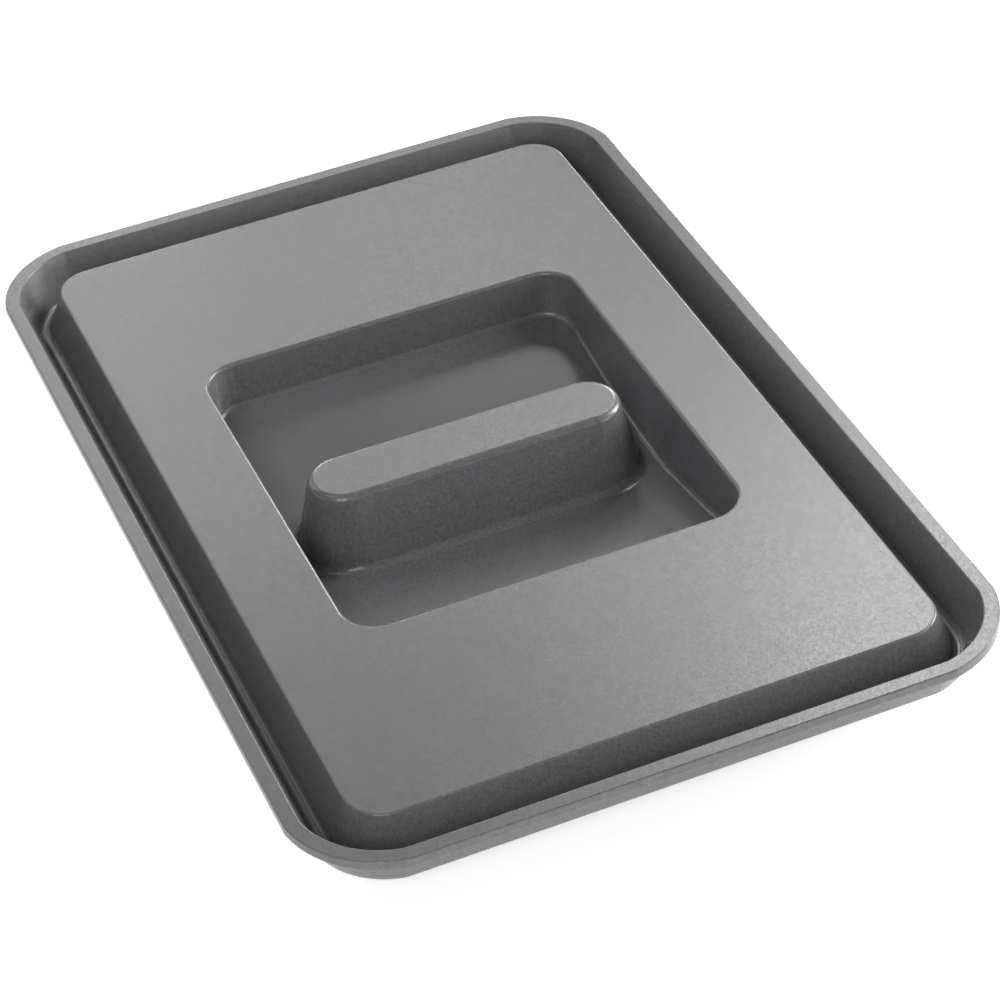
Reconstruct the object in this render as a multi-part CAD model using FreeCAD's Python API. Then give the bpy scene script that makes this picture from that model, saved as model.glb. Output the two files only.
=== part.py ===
"""Lid of a resin-print wash tub: one moulded shell with a sunken hand grip, and its rim seal.

X runs along the grip bar, Y along the lid's long side and Z up. The shell is a single
moulding of even wall: a flat rim, a drip channel inside it, a raised deck in the middle,
and in the deck a hand recess with a hollow grip bar. The shapes are built with the deck
and rim at z = 0, and lifted at the end so that the lid's lowest point is at z = 0.
"""
import FreeCAD, Part
import math
import os

from FreeCAD import Vector

# Outline of the rim, millimetres
LID_WIDTH = 300.0            # across X
LID_LENGTH = 450.0           # across Y
CORNER_RADIUS = 45.0         # arc at each corner of the rim
CORNER_TURN = 9.37           # degrees, the angle at which the arc meets the edges beside it
CORNER_EASE = 8.0            # small arc that eases the turn where a corner arc meets an edge
RIM_WIDTH = 6.5              # flat land round the outside
RIM_HEIGHT = 4.4             # side face of the rim
RIM_EDGE = 0.6               # rounding of the rim's outer edges

# Wall of the moulding
WALL = 2.5

# Drip channel between the rim and the deck
CHANNEL_WIDTH = 19.0         # at the top
CHANNEL_DEPTH = 20.0
CHANNEL_DRAFT = 20.0         # degrees, both sides
CHANNEL_ROOT = 2.4           # rounding at the bottom of the channel
CHANNEL_FOOT_SHARE = 0.45    # most of the channel's flat bottom that one rounding may take

# Raised deck
DECK_CORNER_DROP = 3.5       # how much less the deck's corner radius is than one in step with the rim's
DECK_EDGE = 1.0              # rounding along the deck's edge

# Hand recess in the deck
RECESS_WIDTH = 175.0         # across X
RECESS_LENGTH = 195.0        # across Y
RECESS_CORNER = 16.0
RECESS_DRAFT = 3.5           # degrees
RECESS_WALL_DEPTH = 22.0     # at the front and back walls
FLOOR_SLOPE = 9.3            # degrees, down from those walls towards the grip
FLOOR_BLEND = 200.0          # radius that joins the two slopes under the grip
RECESS_EDGE = 1.6            # rounding along the recess's mouth
RECESS_ROOT = 2.5            # rounding where walls meet the floor

# Grip bar
GRIP_LENGTH = 141.0          # at the top, over the rounded ends
GRIP_WIDTH = 29.2            # at the top
GRIP_SIDE_DRAFT = 16.0       # degrees
GRIP_END_DRAFT = 13.0        # degrees
GRIP_EDGE = 3.0              # rounding round the top
GRIP_ROOT = 3.5              # rounding where the bar meets the floor

# Seal ring pressed into a groove under the rim
SEAL_INSET = 1.3             # from the rim's outer edge to the groove
SEAL_WIDTH = 2.6
SEAL_HEIGHT = 2.6
GROOVE_DEPTH = 1.8
SEAL_CLEARANCE = 0.05        # each side of the seal in its groove

OVERSHOOT = 2.0              # how far a cutting shape runs past the face it cuts
ON_LINE = 0.02               # an edge nearer than this to an outline lies on it
LEVEL = 0.001                # an edge that rises less than this is level

# From each edge of the rim to the centre of the corner's arc
CORNER_INSET = CORNER_RADIUS * math.cos(math.radians(CORNER_TURN))

# The wall is laid off square to each sloping face, so seen from above it is wider there.
CHANNEL_SKIN = WALL / math.cos(math.radians(CHANNEL_DRAFT))
RECESS_SKIN = WALL / math.cos(math.radians(RECESS_DRAFT))
GRIP_SKIN = WALL / math.cos(math.radians(GRIP_SIDE_DRAFT))
DECK_INSET = RIM_WIDTH + CHANNEL_WIDTH
DECK_CORNER = CORNER_RADIUS - DECK_INSET - DECK_CORNER_DROP
DECK_HALF_X = LID_WIDTH / 2 - DECK_INSET
DECK_HALF_Y = LID_LENGTH / 2 - DECK_INSET
CHANNEL_BASE = -CHANNEL_DEPTH - WALL

# The arc that joins the floor's two slopes: where it meets them, and the height of its centre.
BLEND_HALF = FLOOR_BLEND * math.sin(math.radians(FLOOR_SLOPE))
SLOPE_DROP = (RECESS_LENGTH / 2 - BLEND_HALF) * math.tan(math.radians(FLOOR_SLOPE))
BLEND_CENTRE_Z = FLOOR_BLEND * math.cos(math.radians(FLOOR_SLOPE)) - RECESS_WALL_DEPTH - SLOPE_DROP


def tan_deg(angle):
    return math.tan(math.radians(angle))


def closed_wire(edges):
    return Part.Wire(Part.__sortEdges__(edges))


def rounded_outline(half_x, half_y, radius, centre_inset, z):
    """Rectangle whose corner arcs of the given radius are centred centre_inset inside each edge.

    Where the radius is more than the inset, the arc meets the edge at an angle, which an easing arc rounds.
    """
    cx = half_x - centre_inset
    cy = half_y - centre_inset
    ease = CORNER_EASE if radius > centre_inset else 0.0
    turn = math.acos((centre_inset - ease) / (radius - ease))
    ease_x = (radius - ease) * math.cos(turn)
    ease_y = (radius - ease) * math.sin(turn)
    near_side = [(ease_x + ease * math.cos(t), ease_y + ease * math.sin(t)) for t in (0, turn / 2, turn)]
    middle = radius / math.sqrt(2.0)
    quarter = near_side + [(middle, middle)] + [(b, a) for a, b in reversed(near_side)]
    arc_starts = (0, 2, 4) if ease else (2,)
    edges = []
    for sx, sy in ((1, 1), (-1, 1), (-1, -1), (1, -1)):
        points = [Vector(sx * (cx + a), sy * (cy + b), z) for a, b in quarter]
        edges += [Part.Arc(*points[i:i + 3]).toShape() for i in arc_starts]
    for s in (1, -1):
        side = Part.LineSegment(Vector(s * half_x, cy + ease_y, z), Vector(s * half_x, -cy - ease_y, z))
        end = Part.LineSegment(Vector(cx + ease_y, s * half_y, z), Vector(-cx - ease_y, s * half_y, z))
        edges += [side.toShape(), end.toShape()]
    return closed_wire(edges)


def stadium_outline(half_length, half_width, z):
    straight = half_length - half_width
    edges = []
    for s in (1, -1):
        line = Part.LineSegment(Vector(-straight, s * half_width, z), Vector(straight, s * half_width, z))
        start = Vector(s * straight, half_width, z)
        tip = Vector(s * half_length, 0, z)
        finish = Vector(s * straight, -half_width, z)
        edges += [line.toShape(), Part.Arc(start, tip, finish).toShape()]
    return closed_wire(edges)


def solid_between(lower, upper):
    return Part.makeLoft([lower, upper], True, True)


def rim_outline(inset, z):
    """The lid's outer outline, moved inwards by inset."""
    return rounded_outline(LID_WIDTH / 2 - inset, LID_LENGTH / 2 - inset,
                           CORNER_RADIUS - inset, CORNER_INSET - inset, z)


def rim_block(inset, draft, z_low, z_high):
    """Block inside the rim's outline; inset is measured at z = 0 and grows with depth."""
    return solid_between(rim_outline(inset - z_low * tan_deg(draft), z_low),
                         rim_outline(inset - z_high * tan_deg(draft), z_high))


def flared_block(half_x, half_y, corner, draft, z_low, z_high):
    """Rounded block whose outline is given at z = 0 and grows with depth by the draft."""
    wires = []
    for z in (z_low, z_high):
        growth = -z * tan_deg(draft)
        wires.append(rounded_outline(half_x + growth, half_y + growth,
                                     corner + growth, corner + growth, z))
    return solid_between(wires[0], wires[1])


def edges_on(shape, outline):
    """Edges of the shape that lie along the outline."""
    found = []
    for edge in shape.Edges:
        middle = edge.valueAt((edge.FirstParameter + edge.LastParameter) / 2)
        if outline.distToShape(Part.Vertex(middle))[0] < ON_LINE:
            found.append(edge)
    return found


def level_edges(shape, z):
    return [e for e in shape.Edges if max(abs(e.BoundBox.ZMin - z), abs(e.BoundBox.ZMax - z)) < LEVEL]


def lowest_floor(extra):
    """Height of the recess floor's lowest line, under the grip, when lowered by extra."""
    return BLEND_CENTRE_Z - FLOOR_BLEND - extra


def floor_profile(extra):
    """Closed wire in the YZ plane above the recess floor, which is lowered square to itself by extra."""
    slope = math.radians(FLOOR_SLOPE)
    blend = FLOOR_BLEND + extra
    blend_y = blend * math.sin(slope)
    blend_z = BLEND_CENTRE_Z - blend * math.cos(slope)
    far = RECESS_LENGTH / 2 + 2 * WALL
    far_z = blend_z + (far - blend_y) * math.tan(slope)
    corners = [Vector(0, blend_y, blend_z), Vector(0, far, far_z), Vector(0, far, OVERSHOOT),
               Vector(0, -far, OVERSHOOT), Vector(0, -far, far_z), Vector(0, -blend_y, blend_z)]
    edges = [Part.LineSegment(a, b).toShape() for a, b in zip(corners, corners[1:])]
    edges.append(Part.Arc(corners[-1], Vector(0, 0, lowest_floor(extra)), corners[0]).toShape())
    return closed_wire(edges)


def above_floor(extra):
    """Everything above the recess floor, as one long bar across the lid."""
    face = Part.Face(floor_profile(extra))
    face.translate(Vector(-LID_WIDTH / 2, 0, 0))
    return face.extrude(Vector(LID_WIDTH, 0, 0))


def is_blend_seam(edge):
    """True for the two lines across the floor where its slopes meet the blend, which are smooth."""
    box = edge.BoundBox
    return box.XLength > RECESS_WIDTH / 2 and box.YLength < LEVEL and abs(box.YMin) < RECESS_LENGTH / 4


def recess_block(skin):
    """The recess as a solid, its walls and floor moved outwards by skin, rounded round its floor."""
    grow = skin * RECESS_SKIN / WALL
    block = flared_block(RECESS_WIDTH / 2 + grow, RECESS_LENGTH / 2 + grow, RECESS_CORNER + grow,
                         -RECESS_DRAFT, lowest_floor(skin) - OVERSHOOT, OVERSHOOT)
    block = block.common(above_floor(skin))
    floor_edges = [e for e in block.Edges
                   if e.BoundBox.ZMax < -RECESS_WALL_DEPTH / 2 and not is_blend_seam(e)]
    return block.makeFillet(RECESS_ROOT + skin, floor_edges)


def grip_block(skin, z_low, z_high):
    """The grip bar as a solid, its sides moved inwards by skin."""
    wires = []
    for z in (z_low, z_high):
        half_length = GRIP_LENGTH / 2 - z * tan_deg(GRIP_END_DRAFT) - skin
        half_width = GRIP_WIDTH / 2 - z * tan_deg(GRIP_SIDE_DRAFT) - skin
        wires.append(stadium_outline(half_length, half_width, z))
    return solid_between(wires[0], wires[1])


def rounded_along(shape, outline, radius):
    """Round the shape's edges that lie along the outline."""
    return shape.makeFillet(radius, edges_on(shape, outline))


def hand_space():
    """What the hand reaches into: the recess less the grip bar, rounded where the bar meets the floor."""
    bar = grip_block(0, lowest_floor(0) - OVERSHOOT, OVERSHOOT * 2)
    space = recess_block(0).cut(bar)
    root = [e for e in edges_on(space, bar) if e.BoundBox.ZMax < -RECESS_WALL_DEPTH / 2]
    return space.makeFillet(GRIP_ROOT, root)


def grip_hollow():
    """The space inside the grip bar, open below, which keeps the bar's wall even."""
    return grip_block(GRIP_SKIN, lowest_floor(WALL) - OVERSHOOT, -WALL)


def deck_block(skin, z_low, z_high):
    """The raised deck as a solid, its sides moved inwards by skin."""
    return flared_block(DECK_HALF_X - skin, DECK_HALF_Y - skin, DECK_CORNER - skin,
                        CHANNEL_DRAFT, z_low, z_high)


def channel_root():
    """Rounding at the foot of the channel, no more than its narrowest flat bottom has room for."""
    lean = CHANNEL_DEPTH * tan_deg(CHANNEL_DRAFT)
    straight = CHANNEL_WIDTH - 2 * lean
    centres_apart = math.sqrt(2.0) * (CORNER_INSET - DECK_INSET - DECK_CORNER)
    corner = CORNER_RADIUS - RIM_WIDTH - lean - (DECK_CORNER + lean + centres_apart)
    half_turn = (90 - CHANNEL_DRAFT) / 2
    return min(CHANNEL_ROOT, CHANNEL_FOOT_SHARE * min(straight, corner) / tan_deg(half_turn))


def channel_space():
    """The drip channel as a solid, rounded along both sides of its bottom."""
    space = rim_block(RIM_WIDTH, CHANNEL_DRAFT, -CHANNEL_DEPTH, OVERSHOOT)
    space = space.makeFillet(channel_root(), level_edges(space, -CHANNEL_DEPTH))
    deck = deck_block(0, -CHANNEL_DEPTH - OVERSHOOT, OVERSHOOT * 2)
    space = space.cut(deck)
    foot = [e for e in edges_on(space, deck) if abs(e.BoundBox.ZMax + CHANNEL_DEPTH) < LEVEL]
    return space.makeFillet(channel_root(), foot)


def channel_body():
    """The rim's underbody before it is hollowed: it plugs into the mouth of the tub."""
    body = rim_block(RIM_WIDTH - CHANNEL_SKIN, CHANNEL_DRAFT, CHANNEL_BASE, -RIM_HEIGHT / 2)
    return body.makeFillet(channel_root() + WALL, level_edges(body, CHANNEL_BASE))


def rim_ring(inset, width, z_low, z_high):
    """Ring of even width that follows the rim's outline, inset from it."""
    outer = rim_block(inset, 0, z_low, z_high)
    return outer.cut(rim_block(inset + width, 0, z_low - OVERSHOOT, z_high + OVERSHOOT))


def recess_shell():
    """The recess grown by the wall's thickness and trimmed level with the deck."""
    depth = -lowest_floor(WALL) + OVERSHOOT
    below_top = Part.makeBox(LID_WIDTH, LID_LENGTH, depth, Vector(-LID_WIDTH / 2, -LID_LENGTH / 2, -depth))
    return recess_block(WALL).common(below_top)


def lid_shell():
    """The whole moulding: outsides joined, insides cut away, then the top edges rounded."""
    shell = rim_block(0, 0, -RIM_HEIGHT, 0)
    for level in (-RIM_HEIGHT, 0):
        shell = rounded_along(shell, rim_outline(0, level), RIM_EDGE)
    shell = shell.fuse(channel_body())
    shell = shell.cut(channel_space())
    shell = shell.cut(deck_block(CHANNEL_SKIN, CHANNEL_BASE - OVERSHOOT, -WALL))
    shell = shell.fuse(recess_shell())
    shell = shell.cut(hand_space())
    shell = shell.cut(grip_hollow())
    shell = shell.cut(rim_ring(SEAL_INSET, SEAL_WIDTH, -RIM_HEIGHT - OVERSHOOT, -RIM_HEIGHT + GROOVE_DEPTH))
    deck_edge = rounded_outline(DECK_HALF_X, DECK_HALF_Y, DECK_CORNER, DECK_CORNER, 0)
    recess_mouth = rounded_outline(RECESS_WIDTH / 2, RECESS_LENGTH / 2, RECESS_CORNER, RECESS_CORNER, 0)
    grip_top = stadium_outline(GRIP_LENGTH / 2, GRIP_WIDTH / 2, 0)
    for outline, radius in ((rim_outline(RIM_WIDTH, 0), RIM_EDGE), (deck_edge, DECK_EDGE),
                            (recess_mouth, RECESS_EDGE), (grip_top, GRIP_EDGE)):
        shell = rounded_along(shell, outline, radius)
    return shell


def rim_seal():
    """Flat seal that stands a little proud of the rim's underside and lies on the tub's edge."""
    top = -RIM_HEIGHT + GROOVE_DEPTH
    return rim_ring(SEAL_INSET + SEAL_CLEARANCE, SEAL_WIDTH - 2 * SEAL_CLEARANCE, top - SEAL_HEIGHT, top)


def export(name, shape):
    """Write one piece, lifted so that the lid's lowest point is at z = 0."""
    placed = shape.copy()
    placed.translate(Vector(0, 0, -lowest_floor(WALL)))
    placed.exportStep(os.path.join("parts", name + ".step"))


os.makedirs("parts", exist_ok=True)
for node, build in (("lid_shell", lid_shell), ("rim_seal", rim_seal)):
    export(node, build())
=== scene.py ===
"""Looks of a wash tub lid: a grey moulding on a pale table, with its rubber seal under the rim."""
import bpy
import math
from mathutils import Matrix, Vector


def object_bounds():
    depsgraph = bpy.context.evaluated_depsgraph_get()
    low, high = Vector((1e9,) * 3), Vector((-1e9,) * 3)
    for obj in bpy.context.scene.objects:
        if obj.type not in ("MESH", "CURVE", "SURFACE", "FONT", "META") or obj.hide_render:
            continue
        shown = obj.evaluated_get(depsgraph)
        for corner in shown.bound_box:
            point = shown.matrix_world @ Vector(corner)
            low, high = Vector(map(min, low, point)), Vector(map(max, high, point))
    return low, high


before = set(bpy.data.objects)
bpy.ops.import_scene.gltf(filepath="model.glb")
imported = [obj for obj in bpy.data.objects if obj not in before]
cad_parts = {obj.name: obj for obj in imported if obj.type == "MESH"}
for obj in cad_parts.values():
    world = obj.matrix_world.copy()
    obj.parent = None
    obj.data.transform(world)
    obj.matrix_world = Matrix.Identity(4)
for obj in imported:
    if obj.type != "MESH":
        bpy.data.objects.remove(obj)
cad_low, cad_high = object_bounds()

# --- Lid -------------------------------------------------------------------------------------
# One injection moulding in mid-grey polypropylene: rim, drip channel, deck, hand recess and
# hollow grip bar, all in one even wall. Nothing is glued or screwed on.
MM = 0.001
LID_GREY = "#555557"
GRAIN = 1.2 * MM             # a spark-eroded grain is 0.2 to 0.4 mm, drawn coarser so that it shows
GRAIN_HEIGHT = 0.012 * MM
STEEP, FLAT = 0.5, 0.95      # how far a face points upward, where it counts as steep and as flat
STEEP_GRAIN = 0.35           # share of the grain's height that steep walls keep
PIT_PAINTED_SHADE, TOP_PAINTED_HIGHLIGHT = 0.77, 1.23    # painted shade in the grain's pits, darker than the plastic, and painted highlight on its tops, paler
PIT_ROUGHNESS, TOP_ROUGHNESS = 0.31, 0.25
FLOW_CLOUD = 35 * MM         # faint clouds where the melt flowed and cooled unevenly
CLOUD_DARK, CLOUD_PALE = 0.98, 1.02
DRAG_MARK = 1.6 * MM         # spacing of the marks that drawing off the mould leaves on steep walls
DRAG_STRETCH = 0.06          # the marks run up the wall, so they change only this fast with height
DRAG_HEIGHT = 0.02 * MM
EDGE_REACH = 1.2 * MM        # how far in from a sharp edge the surface is duller
EDGE_DULLING = 0.12          # roughness added there


def linear(hex_colour, brighter=1.0):
    """sRGB hex colour as linear RGBA, made brighter or darker by a factor."""
    parts = [int(hex_colour[i:i + 2], 16) / 255 for i in (1, 3, 5)]
    parts = [c / 12.92 if c <= 0.04045 else ((c + 0.055) / 1.055) ** 2.4 for c in parts]
    return [brighter * c for c in parts] + [1.0]


def add_node(tree, kind, settings, links):
    """Adds one node: settings by attribute, socket name or socket number, links as {socket: output}."""
    node = tree.nodes.new(kind)
    for name, value in settings.items():
        if isinstance(name, str) and hasattr(node, name):
            setattr(node, name, value)
        else:
            node.inputs[name].default_value = value
    for name, output in links.items():
        tree.links.new(output, node.inputs[name])
    return node


def new_material(name):
    """An empty node material and its tree."""
    material = bpy.data.materials.new(name)
    material.use_nodes = True
    tree = material.node_tree
    tree.nodes.clear()
    return material, tree


# Spark-eroded polypropylene: satin and a little bluish, with a fine even grain in bump and roughness, whose
# pits carry painted shade and whose tops carry painted highlight. Steep walls are smoother, with faint drag
# marks, and sharp edges duller.
grained, tree = new_material("Spark_eroded_grey_polypropylene")
place = add_node(tree, "ShaderNodeTexCoord", {}, {}).outputs["Object"]
surface = add_node(tree, "ShaderNodeNewGeometry", {}, {})

# The grain, at full depth on flats and shallower on steep walls
upward = add_node(tree, "ShaderNodeSeparateXYZ", {}, {0: surface.outputs["True Normal"]}).outputs["Z"]
flatness = add_node(tree, "ShaderNodeMapRange", {"From Min": STEEP, "From Max": FLAT, "To Min": STEEP_GRAIN},
                    {"Value": upward}).outputs["Result"]
grain = add_node(tree, "ShaderNodeTexNoise", {"Scale": 1 / GRAIN, "Detail": 3.0, "Roughness": 0.7},
                 {"Vector": place}).outputs["Fac"]
tops = add_node(tree, "ShaderNodeMapRange", {"From Min": 0.36, "From Max": 0.64},
                {"Value": grain}).outputs["Result"]
grain_bump = add_node(tree, "ShaderNodeBump", {"Distance": GRAIN_HEIGHT},
                      {"Height": grain, "Strength": flatness})

# Drag marks
upright = add_node(tree, "ShaderNodeMapping", {"Scale": (1, 1, DRAG_STRETCH)},
                   {"Vector": place}).outputs["Vector"]
drag = add_node(tree, "ShaderNodeTexNoise", {"Scale": 1 / DRAG_MARK, "Detail": 1.0},
                {"Vector": upright}).outputs["Fac"]
drag_bump = add_node(tree, "ShaderNodeBump", {"Strength": 0.25, "Distance": DRAG_HEIGHT},
                     {"Height": drag, "Normal": grain_bump.outputs["Normal"]})

# Colour: painted shade in the grain's pits and painted highlight on its tops, clouded by the flow of the
# melt
grain_painted_shading = add_node(tree, "ShaderNodeMix",
                   {"data_type": "RGBA", "A": linear(LID_GREY, PIT_PAINTED_SHADE), "B": linear(LID_GREY, TOP_PAINTED_HIGHLIGHT)},
                   {0: tops}).outputs["Result"]
clouds = add_node(tree, "ShaderNodeTexNoise", {"Scale": 1 / FLOW_CLOUD, "Detail": 3.0},
                  {"Vector": place}).outputs["Fac"]
flow = add_node(tree, "ShaderNodeMapRange",
                {"From Min": 0.35, "From Max": 0.65, "To Min": CLOUD_DARK, "To Max": CLOUD_PALE},
                {"Value": clouds}).outputs["Result"]
tint = add_node(tree, "ShaderNodeVectorMath", {"operation": "SCALE"},
                {0: grain_painted_shading, "Scale": flow}).outputs["Vector"]

# Roughness: duller where a rounded-over copy of the surface turns away from it, at sharp edges
rounded_over = add_node(tree, "ShaderNodeBevel", {"samples": 4, "Radius": EDGE_REACH},
                        {}).outputs["Normal"]
agreement = add_node(tree, "ShaderNodeVectorMath", {"operation": "DOT_PRODUCT"},
                     {0: rounded_over, 1: surface.outputs["Normal"]}).outputs["Value"]
edges = add_node(tree, "ShaderNodeMapRange", {"From Min": 0.995, "From Max": 0.90},
                 {"Value": agreement}).outputs["Result"]
grain_roughness = add_node(tree, "ShaderNodeMapRange", {"To Min": PIT_ROUGHNESS, "To Max": TOP_ROUGHNESS},
                           {"Value": tops}).outputs["Result"]
roughness = add_node(tree, "ShaderNodeMath", {"operation": "MULTIPLY_ADD", 1: EDGE_DULLING},
                     {0: edges, 2: grain_roughness}).outputs["Value"]

shader = add_node(tree, "ShaderNodeBsdfPrincipled", {"IOR": 1.49},
                  {"Base Color": tint, "Roughness": roughness, "Normal": drag_bump.outputs["Normal"]})
add_node(tree, "ShaderNodeOutputMaterial", {}, {"Surface": shader.outputs["BSDF"]})
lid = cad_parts["lid_shell"]
lid.data.materials.clear()
lid.data.materials.append(grained)

# --- Seal ------------------------------------------------------------------------------------
# One flat ring of black nitrile rubber, moulded in one piece and pressed into the groove under
# the rim, where its own stretch holds it. Only its underside shows, with the lid turned over.
RUBBER_BLACK = "#29292b"
BARE_SHADE, BLOOM_SHADE = 0.85, 1.6          # shades of the bare rubber and of the greyed patches
BARE_ROUGHNESS, BLOOM_ROUGHNESS = 0.50, 0.64
STIPPLE = 0.8 * MM           # the blasted mould leaves 0.1 mm dimples, drawn coarser so that they show
STIPPLE_DEPTH = 0.04 * MM
BLOOM = 14 * MM              # patches where wax has come up to the surface and greyed it

# Blasted-mould nitrile rubber: black and dull, with a dry stippled face. Wax rises out of it in
# patches, which look greyer and a little duller than the bare rubber.
rubber, tree = new_material("Blast_moulded_black_nitrile_rubber")
place = add_node(tree, "ShaderNodeTexCoord", {}, {}).outputs["Object"]
stipple = add_node(tree, "ShaderNodeTexNoise", {"Scale": 1 / STIPPLE, "Detail": 2.0},
                   {"Vector": place}).outputs["Fac"]
patches = add_node(tree, "ShaderNodeTexNoise", {"Scale": 1 / BLOOM, "Detail": 4.0},
                   {"Vector": place}).outputs["Fac"]
bloomed = add_node(tree, "ShaderNodeMapRange", {"From Min": 0.42, "From Max": 0.62},
                   {"Value": patches}).outputs["Result"]
black = add_node(tree, "ShaderNodeMix",
                 {"data_type": "RGBA", "A": linear(RUBBER_BLACK, BARE_SHADE),
                  "B": linear(RUBBER_BLACK, BLOOM_SHADE)},
                 {0: bloomed}).outputs["Result"]
dull = add_node(tree, "ShaderNodeMapRange", {"To Min": BARE_ROUGHNESS, "To Max": BLOOM_ROUGHNESS},
                {"Value": bloomed}).outputs["Result"]
dimples = add_node(tree, "ShaderNodeBump", {"Strength": 0.5, "Distance": STIPPLE_DEPTH},
                   {"Height": stipple}).outputs["Normal"]
shader = add_node(tree, "ShaderNodeBsdfPrincipled", {"IOR": 1.52},
                  {"Base Color": black, "Roughness": dull, "Normal": dimples})
add_node(tree, "ShaderNodeOutputMaterial", {}, {"Surface": shader.outputs["BSDF"]})
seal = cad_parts["rim_seal"]
seal.data.materials.clear()
seal.data.materials.append(rubber)

# --- Table, light and camera -----------------------------------------------------------------
# A white acrylic table that sweeps up into a low wall all round, lit softly from inside, which
# keeps shadows pale. Square soft boxes hang round it, all aimed at the lid.
TABLE_GLOW = 0.5
TABLE_REACH = 6.0            # from the lid to where the sweep begins
SWEEP = 2.0                  # radius of the sweep
WALL_TOP = 3.0
SWEEP_STEPS = 12
TURN_STEPS = 96

profile = [(TABLE_REACH + SWEEP * math.sin(a), SWEEP * (1 - math.cos(a)))
           for a in (math.radians(90) * n / SWEEP_STEPS for n in range(SWEEP_STEPS + 1))]
profile.append((TABLE_REACH + SWEEP, WALL_TOP))
points = [(radius * math.cos(t), radius * math.sin(t), height) for radius, height in profile
          for t in (math.tau * n / TURN_STEPS for n in range(TURN_STEPS))]
faces = [tuple(range(TURN_STEPS))]
for ring in range(len(profile) - 1):
    for n in range(TURN_STEPS):
        a, b = ring * TURN_STEPS + n, ring * TURN_STEPS + (n + 1) % TURN_STEPS
        faces.append((a, a + TURN_STEPS, b + TURN_STEPS, b))
table_mesh = bpy.data.meshes.new("light_table")
table_mesh.from_pydata(points, [], faces)
table_mesh.shade_smooth()
table = bpy.data.objects.new("light_table", table_mesh)
bpy.context.collection.objects.link(table)
white, tree = new_material("Backlit_white_acrylic")
shader = add_node(tree, "ShaderNodeBsdfPrincipled",
                  {"Base Color": linear("#f4f4f4"), "Roughness": 0.8,
                   "Emission Color": (1, 1, 1, 1), "Emission Strength": TABLE_GLOW}, {})
add_node(tree, "ShaderNodeOutputMaterial", {}, {"Surface": shader.outputs["BSDF"]})
table_mesh.materials.append(white)

LIGHT_DISTANCE = 2.0
# Azimuth from the back towards the right and elevation in degrees, width in metres, power in watts
SOFT_BOXES = ((90, 12, 0.9, 45), (135, 12, 0.9, 9), (90, 35, 0.9, 29), (210, 35, 0.9, 19.3),
              (330, 35, 0.9, 6.6), (270, 62, 0.9, 6.8), (6, 20, 0.3, 5.8), (6, 38, 0.3, 1.5),
              (18, 30, 0.3, 0.8), (18, 38, 0.3, 0.8), (28, 38, 0.3, 0.7), (28, 44, 0.3, 1.1),
              (38, 20, 0.3, 11.2), (38, 44, 0.3, 5.5))
for azimuth, elevation, width, power in SOFT_BOXES:
    light = bpy.data.lights.new("Soft_box", "AREA")
    light.size = width
    light.energy = power
    lamp = bpy.data.objects.new("Soft_box", light)
    bpy.context.collection.objects.link(lamp)
    lamp.visible_camera = False
    az, el = math.radians(azimuth), math.radians(elevation)
    towards = Vector((math.sin(az) * math.cos(el), math.cos(az) * math.cos(el), math.sin(el)))
    lamp.location = towards * LIGHT_DISTANCE
    lamp.rotation_euler = (-lamp.location).to_track_quat("-Z", "Y").to_euler()

AZIMUTH, ELEVATION, ROLL = -19.387, 38.647, -5.22    # degrees, azimuth from the front to the right
LENS = 120.2                 # millimetres, on a sensor 36 wide
SIDEWAYS, UPWARDS, DISTANCE = 0.01488, -0.02658, 1.420905    # metres, from the middle of the deck
camera_data = bpy.data.cameras.new("Camera")
camera_data.lens = LENS
camera_data.sensor_width = 36.0
camera = bpy.data.objects.new("Camera", camera_data)
bpy.context.collection.objects.link(camera)
az, el, roll = (math.radians(a) for a in (AZIMUTH, ELEVATION, ROLL))
back = Vector((math.sin(az) * math.cos(el), -math.cos(az) * math.cos(el), math.sin(el)))
right = Vector((0, 0, 1)).cross(back).normalized()
up = back.cross(right)
right, up = math.cos(roll) * right + math.sin(roll) * up, -math.sin(roll) * right + math.cos(roll) * up
turn = Matrix((right, up, back)).transposed().to_4x4()
centre = right * SIDEWAYS + up * UPWARDS + back * DISTANCE + Vector((0, 0, cad_high.z))
camera.matrix_world = Matrix.Translation(centre) @ turn
bpy.context.scene.camera = camera
bpy.context.scene.view_settings.view_transform = "Standard"
